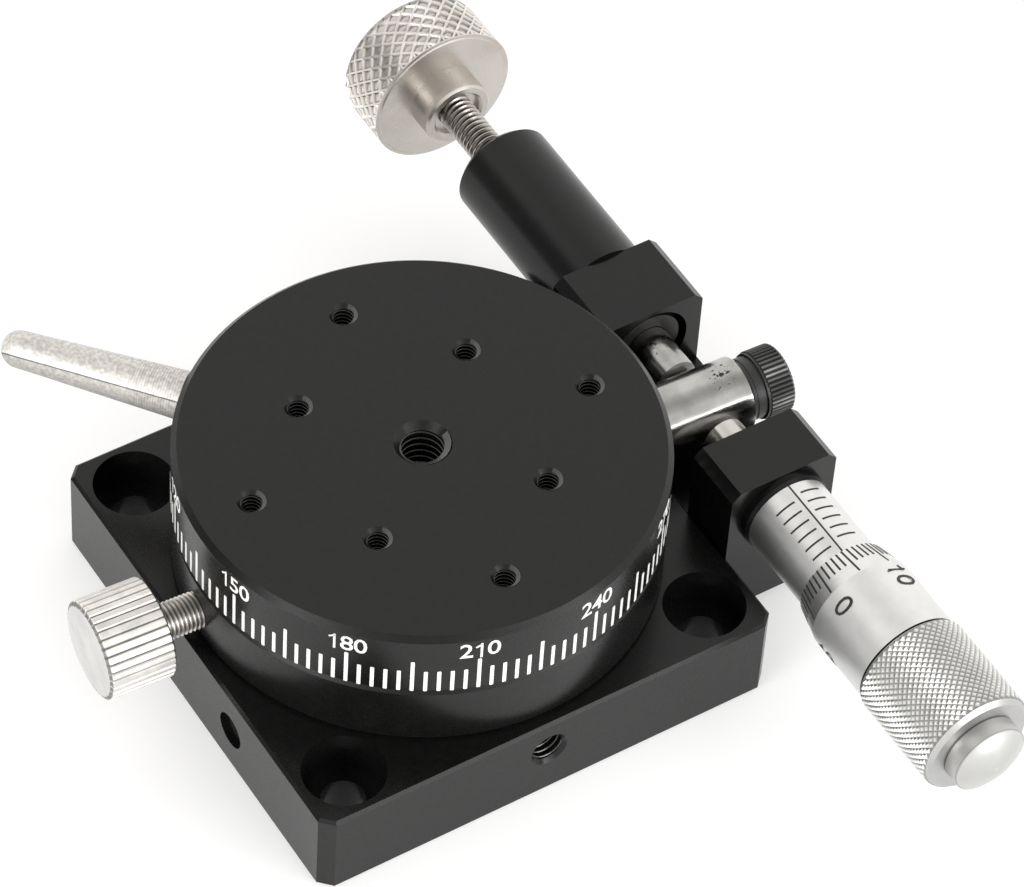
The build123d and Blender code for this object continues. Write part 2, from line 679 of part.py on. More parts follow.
def plunger():
    r = PLUNGER_D / 2
    rim_y = PLUNGER_TIP_Y + TIP_DOME
    mid_r, mid_drop = dome_middle(r, TIP_DOME)
    back = PLUNGER_FLANGE_Y + PLUNGER_FLANGE_T
    with BuildPart() as made:
        with BuildSketch(Plane.XZ):
            with BuildLine():
                ThreePointArc((0, PLUNGER_TIP_Y), (mid_r, PLUNGER_TIP_Y + mid_drop), (r, rim_y))
                Polyline(
                    (r, rim_y),
                    (r, PLUNGER_FLANGE_Y),
                    (PLUNGER_FLANGE_D / 2, PLUNGER_FLANGE_Y),
                    (PLUNGER_FLANGE_D / 2, back),
                    (PLUNGER_TAIL_D / 2, back),
                    (PLUNGER_TAIL_D / 2, PLUNGER_TAIL_END_Y),
                    (0, PLUNGER_TAIL_END_Y),
                    (0, PLUNGER_TIP_Y),
                )
            make_face()
        revolve(axis=Axis.Z)
    return Pos(AXIS_X, 0, AXIS_Z) * Rot(-90, 0, 0) * made.part


def plunger_spring():
    wire = SPRING_WIRE_D / 2
    start = PLUNGER_FLANGE_Y + PLUNGER_FLANGE_T + wire + 0.02
    end = HOUSING_REAR_WALL_Y - wire - 0.02
    height = end - start
    path = Helix(pitch=height / SPRING_TURNS, height=height, radius=SPRING_MEAN_D / 2)
    section = Plane(origin=path @ 0, z_dir=path % 0) * Circle(wire)
    coil = sweep(section, path=path, is_frenet=True)
    return Pos(AXIS_X, start, AXIS_Z) * Rot(-90, 0, 0) * coil


# Rear lock knob

def lock_rod():
    tip = 0.4
    outline = [
        (0, LOCK_ROD_TIP_Y),
        (LOCK_ROD_D / 2 - tip, LOCK_ROD_TIP_Y),
        (LOCK_ROD_D / 2, LOCK_ROD_TIP_Y + tip),
        (LOCK_ROD_D / 2, LOCK_ROD_SOCKET_Y),
        (0, LOCK_ROD_SOCKET_Y),
    ]
    return turned_on_axis(outline)


def lock_knob():
    outer = LOCK_DISC_D / 2
    bore = LOCK_ROD_D / 2 + 0.03
    with BuildPart() as made:
        with BuildSketch(Plane.XZ):
            with BuildLine():
                recess = LOCK_RECESS_D / 2
                Polyline(
                    (bore, LOCK_HUB_Y + LOCK_RECESS_T),
                    (recess, LOCK_HUB_Y + LOCK_RECESS_T),
                    (recess, LOCK_HUB_Y + 0.2),
                    (recess + 0.2, LOCK_HUB_Y),
                    (LOCK_HUB_D / 2 - 0.2, LOCK_HUB_Y),
                    (LOCK_HUB_D / 2, LOCK_HUB_Y + 0.2),
                    (LOCK_HUB_D / 2, LOCK_DISC_Y),
                    (outer - 0.2, LOCK_DISC_Y),
                    (outer, LOCK_DISC_Y + 0.2),
                    (outer, LOCK_DISC_END_Y - LOCK_DISC_ROUND),
                )
                middle = LOCK_DISC_ROUND * (1 - math.sqrt(0.5))
                ThreePointArc(
                    (outer, LOCK_DISC_END_Y - LOCK_DISC_ROUND),
                    (outer - middle, LOCK_DISC_END_Y - middle),
                    (outer - LOCK_DISC_ROUND, LOCK_DISC_END_Y),
                )
                Polyline(
                    (outer - LOCK_DISC_ROUND, LOCK_DISC_END_Y),
                    (0, LOCK_DISC_END_Y),
                    (0, LOCK_ROD_SOCKET_Y + 0.1),
                    (bore, LOCK_ROD_SOCKET_Y + 0.1),
                    (bore, LOCK_HUB_Y + LOCK_RECESS_T),
                )
            make_face()
        revolve(axis=Axis.Z)
    return Pos(AXIS_X, 0, AXIS_Z) * Rot(-90, 0, 0) * made.part


# Thumb lock screw

def thumb_screw_stud():
    outline = [
        (0, THUMB_STUD_IN_R),
        (SCREW_M3_D / 2, THUMB_STUD_IN_R),
        (SCREW_M3_D / 2, THUMB_STUD_SOCKET_R),
        (0, THUMB_STUD_SOCKET_R),
    ]
    return turned_radially(outline, THUMB_ANGLE, THUMB_Z)


def thumb_screw_head():
    r = THUMB_HEAD_D / 2
    bore = SCREW_M3_D / 2 + 0.03
    edge = 0.4
    outline = [
        (bore, THUMB_HEAD_IN_R),
        (r - edge, THUMB_HEAD_IN_R),
        (r, THUMB_HEAD_IN_R + edge),
        (r, THUMB_HEAD_OUT_R - edge),
        (r - edge, THUMB_HEAD_OUT_R),
        (0, THUMB_HEAD_OUT_R),
        (0, THUMB_STUD_SOCKET_R + 0.05),
        (bore, THUMB_STUD_SOCKET_R + 0.05),
    ]
    return turned_radially(outline, THUMB_ANGLE, THUMB_Z)


def lock_pad():
    return radial(PAD_D / 2, THUMB_STUD_IN_R - PAD_LENGTH, THUMB_STUD_IN_R, THUMB_ANGLE, THUMB_Z)


NODES = {
    "base_plate": base_plate,
    "base_bush": base_bush,
    "base_thrust_washer": base_thrust_washer,
    "base_grub_screw": base_grub_screw,
    "clamp_ring": clamp_ring,
    "ring_bush": ring_bush,
    "ring_retaining_nut": ring_retaining_nut,
    "nut_thrust_washer": nut_thrust_washer,
    "table_thrust_washer": table_thrust_washer,
    "tangent_arm": tangent_arm,
    "arm_washer": arm_washer,
    "arm_cap_screw": arm_cap_screw,
    "rotary_table": rotary_table,
    "table_retaining_plate": table_retaining_plate,
    "table_retaining_screws": table_retaining_screws,
    "coarse_handle": coarse_handle,
    "tangent_bracket": tangent_bracket,
    "bracket_screws": bracket_screws,
    "micrometer_grub_screw": micrometer_grub_screw,
    "micrometer_sleeve": micrometer_sleeve,
    "micrometer_collar": micrometer_collar,
    "micrometer_adjusting_nut": micrometer_adjusting_nut,
    "micrometer_spindle": micrometer_spindle,
    "thimble": thimble,
    "thimble_cap": thimble_cap,
    "plunger_bush": plunger_bush,
    "spring_housing": spring_housing,
    "plunger": plunger,
    "plunger_spring": plunger_spring,
    "lock_rod": lock_rod,
    "lock_knob": lock_knob,
    "thumb_screw_stud": thumb_screw_stud,
    "thumb_screw_head": thumb_screw_head,
    "lock_pad": lock_pad,
}


def main():
    os.makedirs("parts", exist_ok=True)
    for name, make in NODES.items():
        save(name, make())


main()
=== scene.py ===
import json
import math

import bpy
from mathutils import Matrix, Vector


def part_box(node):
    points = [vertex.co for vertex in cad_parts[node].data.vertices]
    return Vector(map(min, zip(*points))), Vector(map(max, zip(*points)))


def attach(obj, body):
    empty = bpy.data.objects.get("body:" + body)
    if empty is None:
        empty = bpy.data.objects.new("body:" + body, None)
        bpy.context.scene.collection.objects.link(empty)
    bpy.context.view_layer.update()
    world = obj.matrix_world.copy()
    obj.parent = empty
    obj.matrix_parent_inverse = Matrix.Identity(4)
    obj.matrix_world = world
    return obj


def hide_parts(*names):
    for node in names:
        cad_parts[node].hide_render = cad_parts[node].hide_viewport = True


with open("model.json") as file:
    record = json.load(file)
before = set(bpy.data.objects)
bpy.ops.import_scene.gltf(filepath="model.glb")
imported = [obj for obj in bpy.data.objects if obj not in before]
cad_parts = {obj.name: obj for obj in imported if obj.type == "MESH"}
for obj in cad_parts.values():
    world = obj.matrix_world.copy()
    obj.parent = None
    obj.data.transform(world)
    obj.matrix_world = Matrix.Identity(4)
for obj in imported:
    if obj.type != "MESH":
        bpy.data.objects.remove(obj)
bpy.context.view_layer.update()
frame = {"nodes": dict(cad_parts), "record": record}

# Places and sizes in metres. Those of a whole piece are taken from the frame.
MM = 0.001
TABLE_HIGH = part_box("rotary_table")[1]
TABLE_R = TABLE_HIGH.x
TABLE_TOP = TABLE_HIGH.z
PLUNGER_LOW, PLUNGER_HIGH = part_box("plunger")
AXIS_X = (PLUNGER_LOW.x + PLUNGER_HIGH.x) / 2
AXIS_Z = (PLUNGER_LOW.z + PLUNGER_HIGH.z) / 2
SLEEVE_R = 3.55 * MM
SLEEVE_START_Y = -13.8 * MM
THIMBLE_LOW, THIMBLE_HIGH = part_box("thimble")
THIMBLE_EDGE_Y = THIMBLE_HIGH.y
THIMBLE_END_Y = THIMBLE_LOW.y
THIMBLE_EDGE_R = 3.8 * MM
THIMBLE_R = 4.45 * MM
BEVEL_END_Y = -24.0 * MM
KNURL_START_Y = -30.5 * MM
CAP_SKIRT = 1.45 * MM
KNOB_LOW, KNOB_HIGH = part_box("lock_knob")
KNOB_R = (KNOB_HIGH.x - KNOB_LOW.x) / 2
KNOB_FACE_Y = 37.4 * MM
KNOB_ROUND = 1.3 * MM
ROD_LOW, ROD_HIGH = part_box("lock_rod")
HANDLE_LOW, HANDLE_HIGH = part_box("coarse_handle")
HANDLE_Z = (HANDLE_LOW.z + HANDLE_HIGH.z) / 2
HANDLE_ANGLE = math.radians(130)
HANDLE_RING_PITCH = 0.22 * MM
HANDLE_SEAM_SIDE = (-0.607, -0.51, -0.61)
ARM_ANGLE = math.radians(-3)
ARM_HEAD_IN_R = 28.8 * MM
ARM_HEAD_OUT_R = 32.1 * MM
ARM_COLLAR_T = 0.8 * MM
THUMB_ANGLE = math.radians(177)
HEAD_LOW, HEAD_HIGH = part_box("thumb_screw_head")
THUMB_Z = (HEAD_LOW.z + HEAD_HIGH.z) / 2
THUMB_HEAD_IN_R = 22.5 * MM
THUMB_HEAD_OUT_R = 28.0 * MM
STUD_IN_R = 10.2 * MM
STUD_OUT_R = 26.6 * MM
M2_PITCH = 0.4 * MM
M3_PITCH = 0.5 * MM
M4_PITCH = 0.7 * MM
THUMB_PITCH = 0.35 * MM
GRID_ANGLE = math.radians(39.5)
DIAL_ANGLE = math.radians(42)
GRID_PITCH = 10 * MM
FRONT_TAP = (-0.3 * MM, -19.4 * MM, 4.9 * MM)


# Modelling helpers

def pick(obj, element, test):
    """Goes to edit mode with only those vertices, edges or faces of obj selected that pass the test."""
    bpy.ops.object.mode_set(mode="EDIT")
    bpy.ops.mesh.select_mode(type=element)
    bpy.ops.mesh.select_all(action="DESELECT")
    bpy.ops.object.mode_set(mode="OBJECT")
    mesh = obj.data
    parts = {"VERT": mesh.vertices, "EDGE": mesh.edges, "FACE": mesh.polygons}[element]
    for part in parts:
        part.select = test(part)
    bpy.ops.object.mode_set(mode="EDIT")


def leave_edit():
    bpy.ops.object.mode_set(mode="OBJECT")


def named(name):
    obj = bpy.context.object
    obj.name = name
    obj.data.name = name
    return obj


def apply_place(obj, place):
    """Moves obj to its place and writes that place into its mesh."""
    bpy.ops.object.select_all(action="DESELECT")
    obj.select_set(True)
    bpy.context.view_layer.objects.active = obj
    obj.matrix_world = place
    bpy.ops.object.transform_apply(location=True, rotation=True, scale=True)


def copy_of(obj):
    twin = obj.copy()
    twin.data = obj.data.copy()
    bpy.context.collection.objects.link(twin)
    return twin


def joined(name, objects):
    bpy.ops.object.select_all(action="DESELECT")
    for obj in objects:
        obj.select_set(True)
    bpy.context.view_layer.objects.active = objects[0]
    if len(objects) > 1:
        bpy.ops.object.join()
    return named(name)


def finished(obj, body, material, smooth_angle=None, end_material=None):
    if smooth_angle is not None:
        bpy.ops.object.select_all(action="DESELECT")
        obj.select_set(True)
        bpy.context.view_layer.objects.active = obj
        bpy.ops.object.shade_smooth_by_angle(angle=math.radians(smooth_angle))
    obj.data.materials.clear()
    obj.data.materials.append(material)
    if end_material is not None:
        obj.data.materials.append(end_material)
        for face in obj.data.polygons:
            if len(face.vertices) > 4:
                face.material_index = 1
    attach(obj, body)


def on_tangent_axis():
    """Place of a part that was turned about +Z, laid along the micrometer's axis."""
    return Matrix.Translation((AXIS_X, 0, AXIS_Z)) @ Matrix.Rotation(math.radians(-90), 4, "X")


def on_radius(angle, height):
    """Place of a part that was turned about +Z, laid along a radius of the table."""
    out = Matrix.Rotation(math.radians(90), 4, "Y")
    return Matrix.Rotation(angle, 4, "Z") @ Matrix.Translation((0, 0, height)) @ out


# Materials

def principled(name):
    material = bpy.data.materials.new(name)
    material.use_nodes = True
    nodes = material.node_tree.nodes
    return material, nodes, material.node_tree.links, nodes["Principled BSDF"]


def noise_on_object(nodes, links, scale, stretch=(1, 1, 1), detail=4.0):
    coords = nodes.new("ShaderNodeTexCoord")
    mapping = nodes.new("ShaderNodeMapping")
    mapping.inputs["Scale"].default_value = stretch
    noise = nodes.new("ShaderNodeTexNoise")
    noise.inputs["Scale"].default_value = scale
    noise.inputs["Detail"].default_value = detail
    links.new(coords.outputs["Object"], mapping.inputs["Vector"])
    links.new(mapping.outputs["Vector"], noise.inputs["Vector"])
    return noise


def ramp_between(nodes, links, source, low, high, start=0.35, end=0.65):
    ramp = nodes.new("ShaderNodeValToRGB")
    ramp.color_ramp.elements[0].position = start
    ramp.color_ramp.elements[0].color = (*low, 1)
    ramp.color_ramp.elements[1].position = end
    ramp.color_ramp.elements[1].color = (*high, 1)
    links.new(source, ramp.inputs["Fac"])
    return ramp


def remap(nodes, links, source, low, high):
    ranged = nodes.new("ShaderNodeMapRange")
    ranged.inputs["From Min"].default_value = 0.3
    ranged.inputs["From Max"].default_value = 0.7
    ranged.inputs["To Min"].default_value = low
    ranged.inputs["To Max"].default_value = high
    links.new(source, ranged.inputs["Value"])
    return ranged


def bump_from(nodes, links, source, strength, distance, shader):
    bump = nodes.new("ShaderNodeBump")
    bump.inputs["Strength"].default_value = strength
    bump.inputs["Distance"].default_value = distance
    links.new(source, bump.inputs["Height"])
    links.new(bump.outputs["Normal"], shader.inputs["Normal"])
    return bump


def metal(name, dark, light, rough, metallic=1.0, scale=900, stretch=(1, 1, 1), grain=0.05):
    """A metal whose colour and roughness drift over the piece, with a fine grain in its surface."""
    material, nodes, links, shader = principled(name)
    shader.inputs["Metallic"].default_value = metallic
    drift = noise_on_object(nodes, links, scale / 6, detail=3.0)
    grains = noise_on_object(nodes, links, scale, stretch, detail=6.0)
    colour = ramp_between(nodes, links, drift.outputs["Fac"], dark, light)
    links.new(colour.outputs["Color"], shader.inputs["Base Color"])
    roughness = remap(nodes, links, grains.outputs["Fac"], rough[0], rough[1])
    links.new(roughness.outputs["Result"], shader.inputs["Roughness"])
    bump_from(nodes, links, grains.outputs["Fac"], grain, 0.01 * MM, shader)
    return material


def black_anodising(name, shade, rough, shine):
    dark = (shade * 0.85, shade * 0.84, shade * 0.82)
    light = (shade * 1.15, shade * 1.12, shade * 1.06)
    material = metal(name, dark, light, rough, metallic=0.0, scale=9000, grain=0.1)
    material.node_tree.nodes["Principled BSDF"].inputs["Specular IOR Level"].default_value = shine
    return material


def lathe_rings(material, centre, direction, spacing, depth):
    """Adds faint rings from the lathe round a centre line."""
    nodes, links = material.node_tree.nodes, material.node_tree.links
    coords = nodes.new("ShaderNodeTexCoord")
    mapping = nodes.new("ShaderNodeMapping")
    mapping.inputs["Location"].default_value = tuple(-c for c in centre)
    rings = nodes.new("ShaderNodeTexWave")
    rings.wave_type = "RINGS"
    rings.rings_direction = direction
    rings.inputs["Scale"].default_value = 0.32 / spacing
    rings.inputs["Distortion"].default_value = 1.2
    rings.inputs["Detail"].default_value = 1.0
    links.new(coords.outputs["Object"], mapping.inputs["Vector"])
    links.new(mapping.outputs["Vector"], rings.inputs["Vector"])
    bump_from(nodes, links, rings.outputs["Fac"], 0.25, depth, nodes["Principled BSDF"])
    return material


# Rubbed places on the arm's top and on the plunger's top, in millimetres
RUBBED_ARM = (26.4, -1.3, 14.0)
RUBBED_PLUNGER = (24.2, 4.9, 13.5)


def pit_clusters(material, places, reach):
    """Small dark pits, crowded round a few places and rare elsewhere."""
    nodes, links = material.node_tree.nodes, material.node_tree.links
    pits = noise_on_object(nodes, links, 3600, (0.7, 1, 1), detail=6.0)
    level = pits.outputs["Fac"]
    coords = nodes.new("ShaderNodeTexCoord")
    for place in places:
        apart = nodes.new("ShaderNodeVectorMath")
        apart.operation = "DISTANCE"
        apart.inputs[1].default_value = tuple(c * MM for c in place)
        links.new(coords.outputs["Object"], apart.inputs[0])
        near = nodes.new("ShaderNodeMapRange")
        near.inputs["From Min"].default_value = 0.2 * MM
        near.inputs["From Max"].default_value = reach
        near.inputs["To Min"].default_value = 0.16
        near.inputs["To Max"].default_value = 0.0
        links.new(apart.outputs["Value"], near.inputs["Value"])
        total = nodes.new("ShaderNodeMath")
        total.operation = "ADD"
        links.new(level, total.inputs[0])
        links.new(near.outputs["Result"], total.inputs[1])
        level = total.outputs["Value"]
    spots = ramp_between(nodes, links, level, (1, 1, 1), (0.1, 0.09, 0.08), 0.7, 0.74)
    tinted(material, spots.outputs["Color"])
    return material


def darker_roots(material, point, along, inner, outer, shade):
    """Painted shade in the roots of a thread or knurl: darkens the colour of everything near the inner radius
    round a centre line.
    """
    nodes, links = material.node_tree.nodes, material.node_tree.links
    coords = nodes.new("ShaderNodeTexCoord")
    steps = {}
    for operation in ("SUBTRACT", "CROSS_PRODUCT", "LENGTH"):
        steps[operation] = nodes.new("ShaderNodeVectorMath")
        steps[operation].operation = operation
    steps["SUBTRACT"].inputs[1].default_value = point
    steps["CROSS_PRODUCT"].inputs[1].default_value = along
    links.new(coords.outputs["Object"], steps["SUBTRACT"].inputs[0])
    links.new(steps["SUBTRACT"].outputs["Vector"], steps["CROSS_PRODUCT"].inputs[0])
    links.new(steps["CROSS_PRODUCT"].outputs["Vector"], steps["LENGTH"].inputs[0])
    ranged = nodes.new("ShaderNodeMapRange")
    ranged.inputs["From Min"].default_value = inner
    ranged.inputs["From Max"].default_value = outer
    ranged.inputs["To Min"].default_value = shade
    ranged.inputs["To Max"].default_value = 1.0
    links.new(steps["LENGTH"].outputs["Value"], ranged.inputs["Value"])
    tinted(material, ranged.outputs["Result"])


def tinted(material, factor):
    """Multiplies the colour of a material by a grey value."""
    nodes, links = material.node_tree.nodes, material.node_tree.links
    shader = nodes["Principled BSDF"]
    mix = nodes.new("ShaderNodeMix")
    mix.data_type = "RGBA"
    mix.blend_type = "MULTIPLY"
    mix.inputs["Factor"].default_value = 1.0
    links.new(shader.inputs["Base Color"].links[0].from_socket, mix.inputs["A"])
    links.new(factor, mix.inputs["B"])
    links.new(mix.outputs["Result"], shader.inputs["Base Color"])


def distance_along(material, direction, start):
    """Distance of each point from a start point along a direction, on the object."""
    nodes, links = material.node_tree.nodes, material.node_tree.links
    coords = nodes.new("ShaderNodeTexCoord")
    apart = nodes.new("ShaderNodeVectorMath")
    apart.operation = "SUBTRACT"
    apart.inputs[1].default_value = start
    along = nodes.new("ShaderNodeVectorMath")
    along.operation = "DOT_PRODUCT"
    along.inputs[1].default_value = direction
    links.new(coords.outputs["Object"], apart.inputs[0])
    links.new(apart.outputs["Vector"], along.inputs[0])
    return along.outputs["Value"]


def stepped(material, value, stops):
    """A stepped grey ramp over a length: pairs of length and grey, lengths from stops[0] to stops[-1]."""
    nodes, links = material.node_tree.nodes, material.node_tree.links
    low, high = stops[0][0], stops[-1][0]
    ranged = nodes.new("ShaderNodeMapRange")
    ranged.inputs["From Min"].default_value = low
    ranged.inputs["From Max"].default_value = high
    links.new(value, ranged.inputs["Value"])
    ramp = nodes.new("ShaderNodeValToRGB")
    elements = ramp.color_ramp.elements
    while len(elements) < len(stops):
        elements.new(0.5)
    for element, (length, grey) in zip(elements, stops):
        element.position = (length - low) / (high - low)
        element.color = (grey, grey, grey, 1)
    links.new(ranged.outputs["Result"], ramp.inputs["Fac"])
    return ramp.outputs["Color"]


def handle_aluminium():
    """Turned aluminium: a speckled skin, fine rings near the root and a seam along the lower side."""
    material = metal("turned_aluminium", (0.56, 0.545, 0.515), (0.78, 0.76, 0.725), (0.56, 0.7),
                     scale=20000, grain=0.8)
    nodes, links = material.node_tree.nodes, material.node_tree.links
    start = (0, 0, HANDLE_Z)
    out = (math.cos(HANDLE_ANGLE), math.sin(HANDLE_ANGLE), 0)
    distance = distance_along(material, out, start)
    turn = nodes.new("ShaderNodeMath")
    turn.operation = "MULTIPLY"
    turn.inputs[1].default_value = 2 * math.pi / HANDLE_RING_PITCH
    links.new(distance, turn.inputs[0])
    wave = nodes.new("ShaderNodeMath")
    wave.operation = "SINE"
    links.new(turn.outputs["Value"], wave.inputs[0])
    groove = nodes.new("ShaderNodeMapRange")
    groove.inputs["From Min"].default_value = -1.0
    groove.inputs["From Max"].default_value = -0.2
    groove.inputs["To Min"].default_value = 0.76
    groove.inputs["To Max"].default_value = 1.0
    links.new(wave.outputs["Value"], groove.inputs["Value"])
    rings = nodes.new("ShaderNodeMix")
    rings.data_type = "RGBA"
    strength = ((18 * MM, 1.0), (22.5 * MM, 0.9), (23.5 * MM, 0.1), (34 * MM, 0.05))
    share = stepped(material, distance, strength)
    links.new(share, rings.inputs["Factor"])
    rings.inputs["A"].default_value = (1, 1, 1, 1)
    links.new(groove.outputs["Result"], rings.inputs["B"])
    tinted(material, rings.outputs["Result"])
    across = distance_along(material, HANDLE_SEAM_SIDE, start)
    seam = ((0, 1.0), (0.6 * MM, 1.0), (0.63 * MM, 0.2), (0.69 * MM, 0.2), (0.73 * MM, 0.62), (1.0 * MM, 0.68))
    tinted(material, stepped(material, across, seam))
    return material


def barrel_chrome():
    """Satin chrome; the thimble's turned end face is painted a little darker than its barrel, as painted shade.
    """
    material = metal("knurled_chrome", (0.72, 0.72, 0.71), (0.76, 0.76, 0.75), (0.38, 0.42),
                     scale=5000, grain=0.05)
    distance = distance_along(material, (0, 1, 0), (0, THIMBLE_END_Y, 0))
    end_face_shade = ((-0.1 * MM, 0.62), (0.3 * MM, 0.66), (0.5 * MM, 1.0), (20 * MM, 1.0))
    tinted(material, stepped(material, distance, end_face_shade))
    return material


def cap_chrome():
    """Chrome of the thimble's cap, darker than the satin chrome as painted shade; painted dark lines part its
    skirt from the thimble (painted shadow) and its dome from the skirt (painted dark reflection).
    """
    material = metal("cap_chrome", (0.54, 0.54, 0.53), (0.57, 0.57, 0.56), (0.34, 0.38), scale=5000, grain=0.01)
    distance = distance_along(material, (0, -1, 0), (0, THIMBLE_END_Y, 0))
    # Painted shadow where the skirt meets the thimble, painted dark reflection at the dome's edge.
    lines = ((0, 0.2), (0.06 * MM, 0.25), (0.16 * MM, 0.85), (CAP_SKIRT - 0.09 * MM, 0.9),
             (CAP_SKIRT - 0.01 * MM, 0.5), (CAP_SKIRT + 0.07 * MM, 1.0), (3 * MM, 1.0))
    tinted(material, stepped(material, distance, lines))
    return material


def worn_steel():
    """Polished steel with long scratches; the arm and the plunger are pitted where they have been rubbed."""
    material = metal("polished_steel", (0.34, 0.335, 0.325), (0.48, 0.475, 0.46), (0.14, 0.24),
                     scale=2500, stretch=(0.12, 1, 1), grain=0.06)
    return pit_clusters(material, (RUBBED_ARM, RUBBED_PLUNGER), 2.0 * MM)


def paint(name, colour, rough):
    """Fill of the engraved marks: slightly uneven, not shiny."""
    return metal(name, tuple(c * 0.82 for c in colour), colour, rough, metallic=0.0, scale=4000, grain=0.1)


def knob_nickel():
    """Warm nickel; the lock knob's faces keep faint rings from the lathe."""
    material = metal("nickel", (0.5, 0.47, 0.435), (0.58, 0.55, 0.515), (0.26, 0.34), scale=1500, grain=0.02)
    return lathe_rings(material, (AXIS_X, 0, AXIS_Z), "Y", 0.45 * MM, 0.012 * MM)


FINISHES = {
    "black_anodised": black_anodising("black_anodised", 0.005, (0.22, 0.3), 0.3),
    "black_anodised_fine": black_anodising("black_anodised_fine", 0.004, (0.2, 0.28), 0.3),
    "black_oxide": metal("black_oxide", (0.012, 0.012, 0.012), (0.03, 0.03, 0.03), (0.34, 0.48),
                         metallic=0.3),
    "polished_steel": worn_steel(),
    "ground_steel": metal("ground_steel", (0.5, 0.49, 0.46), (0.7, 0.68, 0.64), (0.18, 0.3)),
    "plain_steel": metal("plain_steel", (0.2, 0.2, 0.2), (0.36, 0.35, 0.34), (0.35, 0.5)),
    "zinc_steel": metal("zinc_steel", (0.42, 0.4, 0.37), (0.66, 0.63, 0.58), (0.24, 0.38)),
    "satin_chrome": metal("satin_chrome", (0.72, 0.72, 0.71), (0.77, 0.77, 0.76), (0.36, 0.4),
                          scale=5000, grain=0.05),
    "knurled_chrome": barrel_chrome(),
    "nickel": knob_nickel(),
    "turned_aluminium": handle_aluminium(),
    "bronze": metal("bronze", (0.4, 0.24, 0.1), (0.6, 0.4, 0.2), (0.3, 0.45)),
    "ptfe": metal("ptfe", (0.75, 0.74, 0.7), (0.85, 0.84, 0.8), (0.4, 0.5), metallic=0.0),
    "spring_steel": metal("spring_steel", (0.3, 0.3, 0.3), (0.5, 0.5, 0.5), (0.25, 0.35)),
}
TANGENT_AXIS = ((AXIS_X, 0, AXIS_Z), (0, 1, 0))
THUMB_AXIS = ((0, 0, THUMB_Z), (math.cos(THUMB_ANGLE), math.sin(THUMB_ANGLE), 0))
ARM_AXIS = ((0, 0, AXIS_Z), (math.cos(ARM_ANGLE), math.sin(ARM_ANGLE), 0))
# Black oxide lightened for the arm screw's ridges as painted highlight standing in for glints, with painted
# shade in the roots.
RIDGED_BLACK = metal("ridged_black", (0.05, 0.05, 0.05), (0.13, 0.13, 0.127), (0.3, 0.42), metallic=0.9)
darker_roots(RIDGED_BLACK, *ARM_AXIS, 2.74 * MM, 2.82 * MM, 0.08)
# Lighter copy of the satin chrome for the thimble's knurl as painted highlight, with painted shade in the roots
# between the diamonds.
DIAMOND_CHROME = metal("diamond_chrome", (0.8, 0.8, 0.78), (0.9, 0.9, 0.88), (0.34, 0.42),
                       scale=4000, grain=0.05)
darker_roots(DIAMOND_CHROME, *TANGENT_AXIS, 4.57 * MM, 4.7 * MM, 0.36)
CAP_CHROME = cap_chrome()
# Lighter copy of the nickel for the knob's knurl as painted highlight, with painted shade in the pits.
DIAMOND_NICKEL = metal("diamond_nickel", (0.66, 0.63, 0.59), (0.78, 0.75, 0.71), (0.26, 0.36),
                       scale=3000, grain=0.05)
darker_roots(DIAMOND_NICKEL, *TANGENT_AXIS, KNOB_R, KNOB_R + 0.16 * MM, 0.5)
# Lighter nickel for the thumb screw's ridges as painted highlight, with painted shade in the roots.
RIDGED_NICKEL = metal("ridged_nickel", (0.74, 0.72, 0.69), (0.86, 0.84, 0.8), (0.46, 0.56),
                      scale=6000, grain=0.3)
darker_roots(RIDGED_NICKEL, *THUMB_AXIS, 3.87 * MM, 3.97 * MM, 0.3)
FACED_NICKEL = metal("faced_nickel", (0.62, 0.61, 0.6), (0.7, 0.69, 0.68), (0.3, 0.4), scale=3000, grain=0.04)
# A lighter copy of black anodising for the tapped threads, so their ridges show as light arcs: painted
# highlight.
HIGHLIGHT_THREAD_BLACK = black_anodising("highlight_thread_black", 0.03, (0.22, 0.32), 0.8)
# Painted shade in the lock rod thread's roots.
ROD_THREAD = metal("rod_thread", (0.5, 0.47, 0.43), (0.72, 0.69, 0.64), (0.24, 0.34))
darker_roots(ROD_THREAD, *TANGENT_AXIS, 1.22 * MM, 1.46 * MM, 0.12)
# Painted shade in the thumb stud thread's roots.
STUD_THREAD = metal("stud_thread", (0.78, 0.75, 0.71), (0.92, 0.89, 0.85), (0.3, 0.4))
darker_roots(STUD_THREAD, *THUMB_AXIS, 1.3 * MM, 1.42 * MM, 0.3)
DARK_STEEL = metal("dark_steel", (0.03, 0.03, 0.03), (0.07, 0.068, 0.065), (0.3, 0.4), metallic=0.8)
# Dull near-black for painted shadow: the ring in the knurl groove and the micrometer collar.
SHADOW_BLACK = black_anodising("shadow_black", 0.003, (0.3, 0.4), 0.12)
WHITE_FILL = paint("white_fill", (0.78, 0.78, 0.76), (0.5, 0.65))
BLACK_FILL = paint("black_fill", (0.015, 0.015, 0.016), (0.45, 0.6))
NODE_FINISHES = {
    # The collar is kept dull near-black so it reads as the shadow crescent at the post's bore: painted shade.
    "micrometer_collar": SHADOW_BLACK,
    "plunger_bush": DARK_STEEL,
    "arm_washer": FINISHES["black_oxide"],
    "thimble_cap": CAP_CHROME,
}


def finish_frame_nodes():
    slots = {part["node"]: part["material_slot"] for part in frame["record"]["subparts"]}
    for node, obj in frame["nodes"].items():
        finish = NODE_FINISHES.get(node, FINISHES[slots[node]])
        if not obj.material_slots:
            obj.data.materials.append(finish)
        for slot in obj.material_slots:
            slot.material = finish


# Dial on the table's rim

